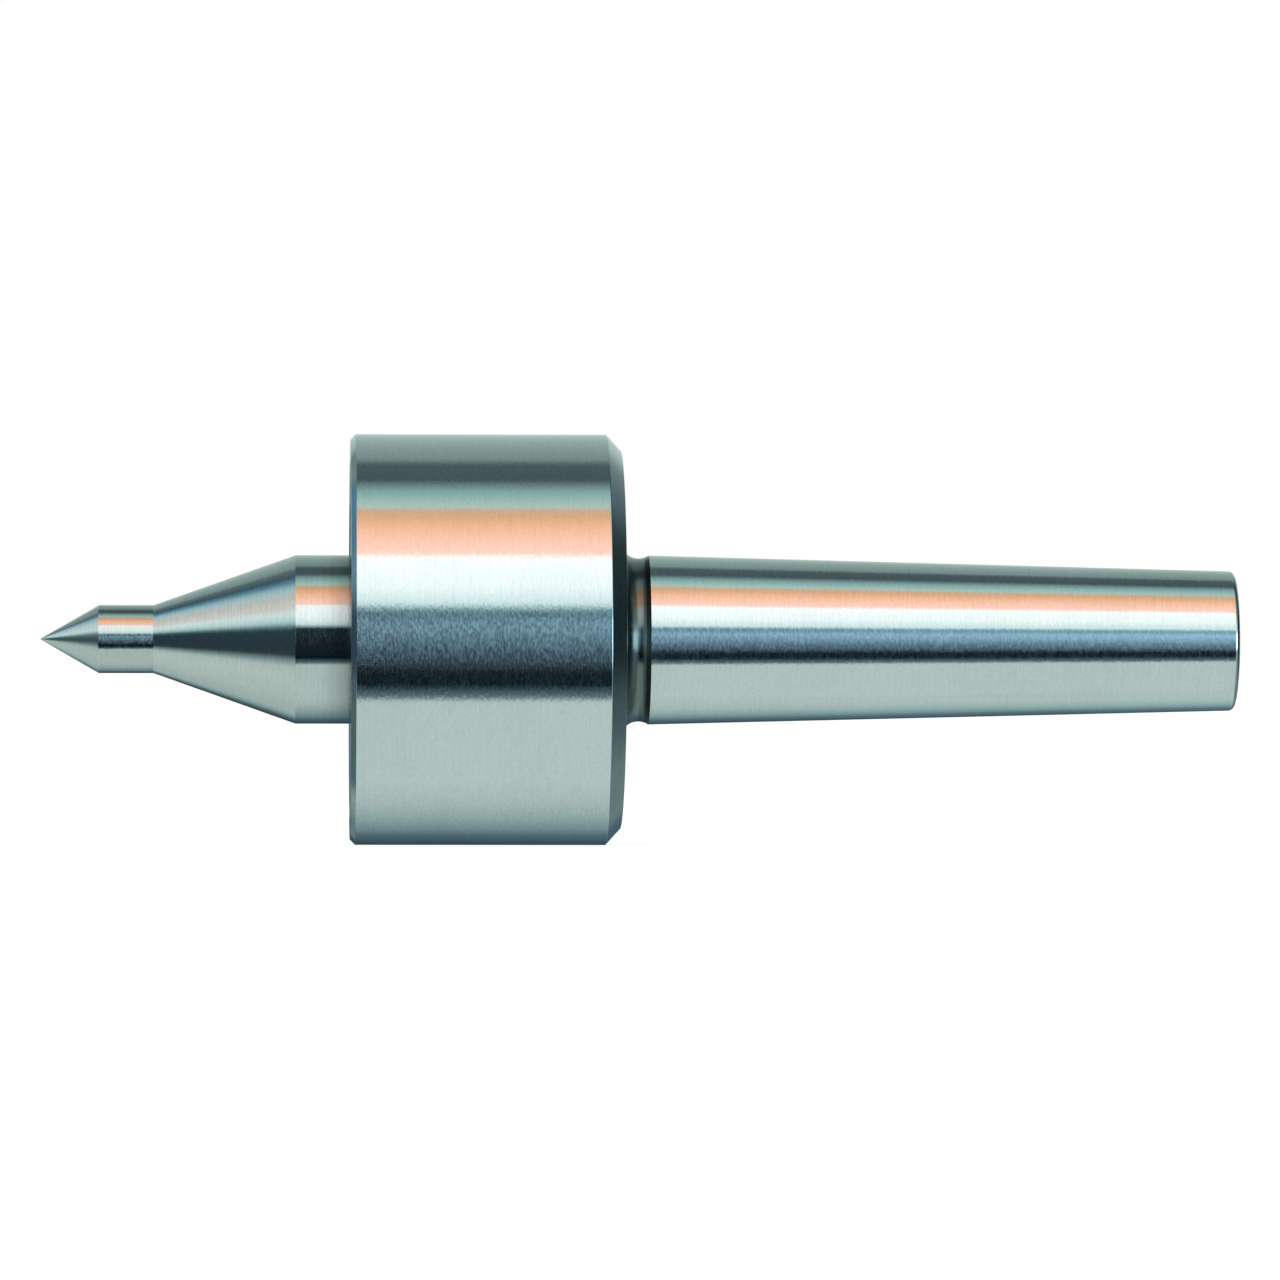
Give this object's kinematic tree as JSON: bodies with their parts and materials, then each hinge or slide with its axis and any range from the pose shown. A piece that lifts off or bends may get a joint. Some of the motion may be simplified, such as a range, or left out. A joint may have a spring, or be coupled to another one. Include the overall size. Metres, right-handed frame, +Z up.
{
  "type": "live center",
  "caption": "Live center: a 60 degree point on a bearing-mounted spindle, in a cylindrical steel head with a Morse taper shank.",
  "frame": {"origin": "centre of the Morse taper's gauge plane, on the axis of rotation, 5.5 mm behind the head's back face", "axes": "+X along the axis of rotation from the point towards the shank's small end, +Z up, -Y towards the viewer of the side view"},
  "size_m": [0.1688, 0.058, 0.058],
  "materials": {
    "ground_steel": "cylindrically ground, bright, with fine rings round the axis",
    "hardened_steel": "hardened and ground, bright",
    "turned_steel": "fine turned",
    "bearing_steel": "polished bearing steel",
    "spring_steel": "tempered, dark",
    "cage_steel": "pressed, satin",
    "brass": "machined",
    "seal_case": "phosphated pressed steel",
    "rubber": "moulded nitrile rubber"
  },
  "bodies": {
    "housing": {"body_shank": "ground_steel", "front_cap": "turned_steel", "cap_o_ring": "rubber", "seal_case": "seal_case", "seal_lip": "rubber", "seal_garter_spring": "spring_steel", "preload_wave_washer": "spring_steel", "front_bearing_outer_ring": "bearing_steel", "thrust_housing_washer": "bearing_steel", "adjusting_shim": "spring_steel", "needle_outer_ring": "bearing_steel"},
    "spindle": {"center_spindle": "hardened_steel", "front_bearing_inner_ring": "bearing_steel", "spindle_circlip": "spring_steel", "thrust_shaft_washer": "bearing_steel"},
    "front_ball_set": {"front_bearing_cage": "brass", "front_bearing_ball_01": "bearing_steel", "front_bearing_ball_02": "bearing_steel", "front_bearing_ball_03": "bearing_steel", "front_bearing_ball_04": "bearing_steel", "front_bearing_ball_05": "bearing_steel", "front_bearing_ball_06": "bearing_steel", "front_bearing_ball_07": "bearing_steel", "front_bearing_ball_08": "bearing_steel"},
    "thrust_ball_set": {"thrust_cage": "brass", "thrust_ball_01": "bearing_steel", "thrust_ball_02": "bearing_steel", "thrust_ball_03": "bearing_steel", "thrust_ball_04": "bearing_steel", "thrust_ball_05": "bearing_steel", "thrust_ball_06": "bearing_steel", "thrust_ball_07": "bearing_steel", "thrust_ball_08": "bearing_steel", "thrust_ball_09": "bearing_steel", "thrust_ball_10": "bearing_steel", "thrust_ball_11": "bearing_steel", "thrust_ball_12": "bearing_steel"},
    "needle_set": {"needle_cage": "cage_steel", "needle_01": "bearing_steel", "needle_02": "bearing_steel", "needle_03": "bearing_steel", "needle_04": "bearing_steel", "needle_05": "bearing_steel", "needle_06": "bearing_steel", "needle_07": "bearing_steel", "needle_08": "bearing_steel", "needle_09": "bearing_steel", "needle_10": "bearing_steel", "needle_11": "bearing_steel", "needle_12": "bearing_steel"}
  },
  "joints": [
    {"name": "spindle_spin", "type": "hinge", "parent": "housing", "child": "spindle", "pos_m": [-0.02815, 0, 0], "axis": [1, 0, 0], "continuous": true},
    {"name": "front_cage_spin", "type": "hinge", "parent": "housing", "child": "front_ball_set", "pos_m": [-0.02815, 0, 0], "axis": [1, 0, 0], "continuous": true},
    {"name": "thrust_cage_spin", "type": "hinge", "parent": "housing", "child": "thrust_ball_set", "pos_m": [-0.0143, 0, 0], "axis": [1, 0, 0], "continuous": true},
    {"name": "needle_cage_spin", "type": "hinge", "parent": "housing", "child": "needle_set", "pos_m": [-0.0029, 0, 0], "axis": [1, 0, 0], "continuous": true}
  ],
  "couplings": [
    {"joint": "front_cage_spin", "follows": "spindle_spin", "ratio": 0.3815},
    {"joint": "thrust_cage_spin", "follows": "spindle_spin", "ratio": 0.5},
    {"joint": "needle_cage_spin", "follows": "spindle_spin", "ratio": 0.4167}
  ]
}
